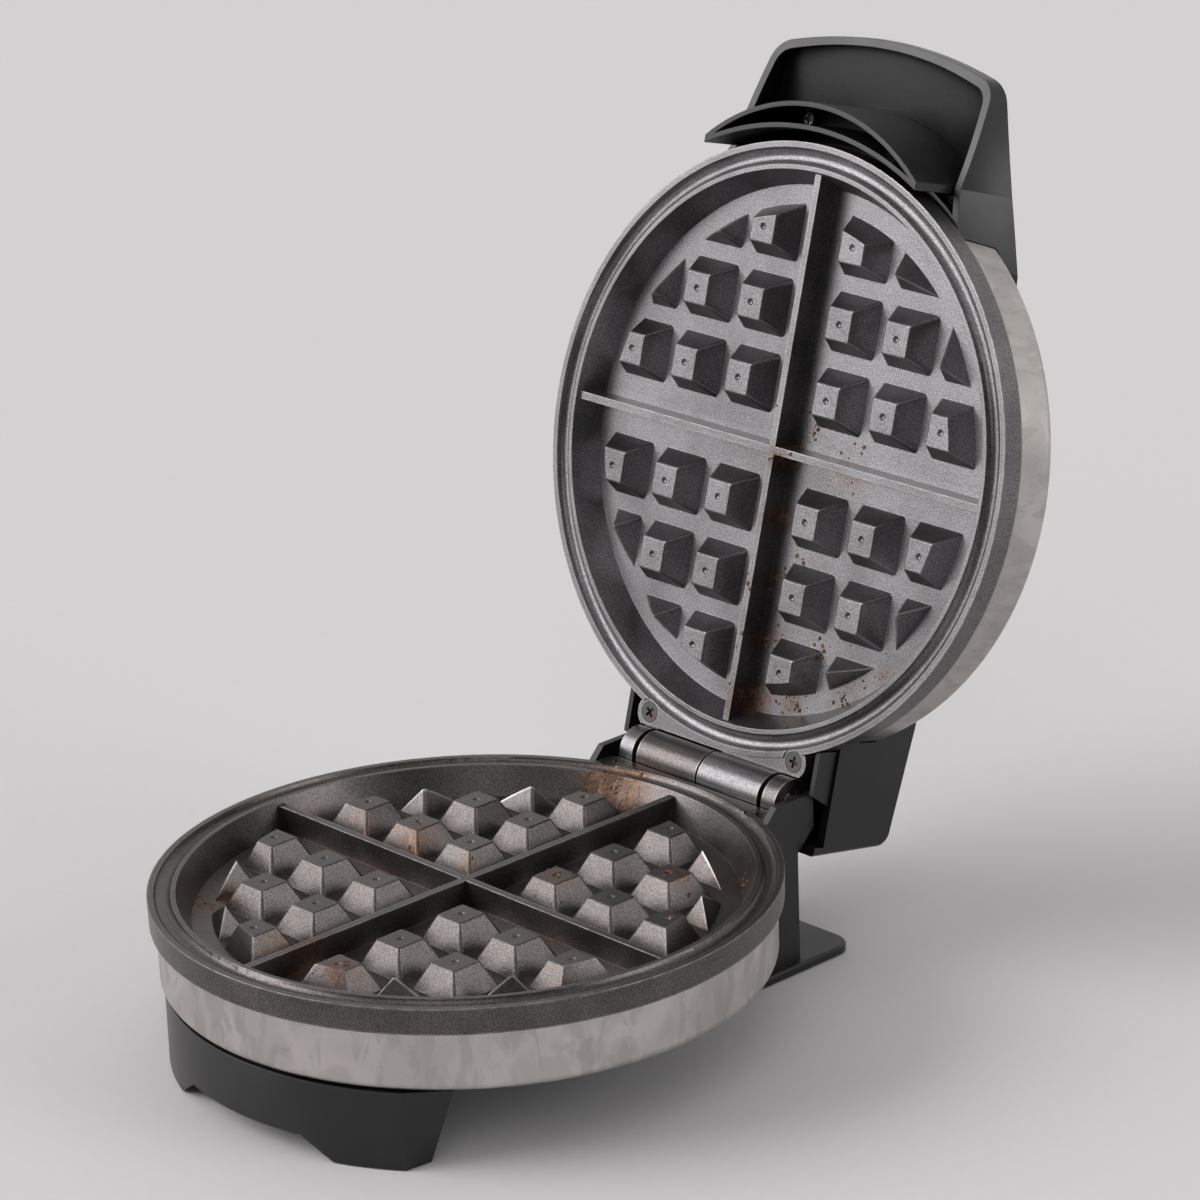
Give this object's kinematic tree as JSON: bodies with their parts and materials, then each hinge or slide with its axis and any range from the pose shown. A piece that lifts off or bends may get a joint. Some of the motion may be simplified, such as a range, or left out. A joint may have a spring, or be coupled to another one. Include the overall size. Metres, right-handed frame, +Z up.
{
  "type": "belgian waffle maker",
  "caption": "Round hinged waffle maker standing open, with coated grids, brushed steel shells and a black handle hood on its lid.",
  "frame": {"origin": "on the surface it stands on, under the middle of the object's length and width", "axes": "+Z up, +Y towards the hinge, -Y the front where the handle comes down, +X to the right seen from the front"},
  "size_m": [0.2, 0.3026, 0.284],
  "materials": {
    "coated_casting": "satin",
    "brushed_shell": "brushed",
    "black_plastic": "satin",
    "plated_steel": "satin",
    "heater_sheath": "matte",
    "reflector_sheet": "satin",
    "pale_insulator": "matte",
    "lead_sleeve": "matte",
    "pad_rubber": "matte",
    "red_lens": "gloss",
    "green_lens": "gloss"
  },
  "bodies": {
    "base": {"lower_grid": "coated_casting", "lower_shell": "brushed_shell", "lower_element": "heater_sheath", "lower_element_clips": "plated_steel", "lower_reflector": "reflector_sheet", "thermostat": "reflector_sheet", "thermal_fuse": "pale_insulator", "centre_bolt": "plated_steel", "centre_spacer": "plated_steel", "bottom_cover": "black_plastic", "front_foot": "black_plastic", "front_foot_pads": "pad_rubber", "front_foot_screws": "plated_steel", "hinge_column": "black_plastic", "column_screws": "plated_steel", "lower_flange_screws": "plated_steel", "rear_foot_plate": "black_plastic", "rear_foot_pads": "pad_rubber", "rear_foot_screws": "plated_steel", "hinge_pin": "plated_steel", "hinge_pin_clips": "plated_steel", "terminal_block": "pale_insulator", "cord_bush": "black_plastic", "base_wires": "lead_sleeve"},
    "lid": {"upper_grid": "coated_casting", "upper_shell": "brushed_shell", "upper_element": "heater_sheath", "upper_element_clips": "plated_steel", "upper_reflector": "reflector_sheet", "upper_flange_screws": "plated_steel", "upper_stud": "plated_steel", "upper_stud_nut": "plated_steel", "lid_rear_housing": "black_plastic", "junction_block": "pale_insulator", "handle_hood": "black_plastic", "handle_guard": "black_plastic", "guard_screws": "plated_steel", "handle_screws": "plated_steel", "power_lens": "red_lens", "ready_lens": "green_lens", "lamp_holder": "pale_insulator", "lid_wires": "lead_sleeve"}
  },
  "joints": [
    {"name": "lid_hinge", "type": "hinge", "parent": "base", "child": "lid", "pos_m": [0, 0.05768, 0.0555], "axis": [1, 0, 0], "range_deg": [0, 105.6]}
  ]
}
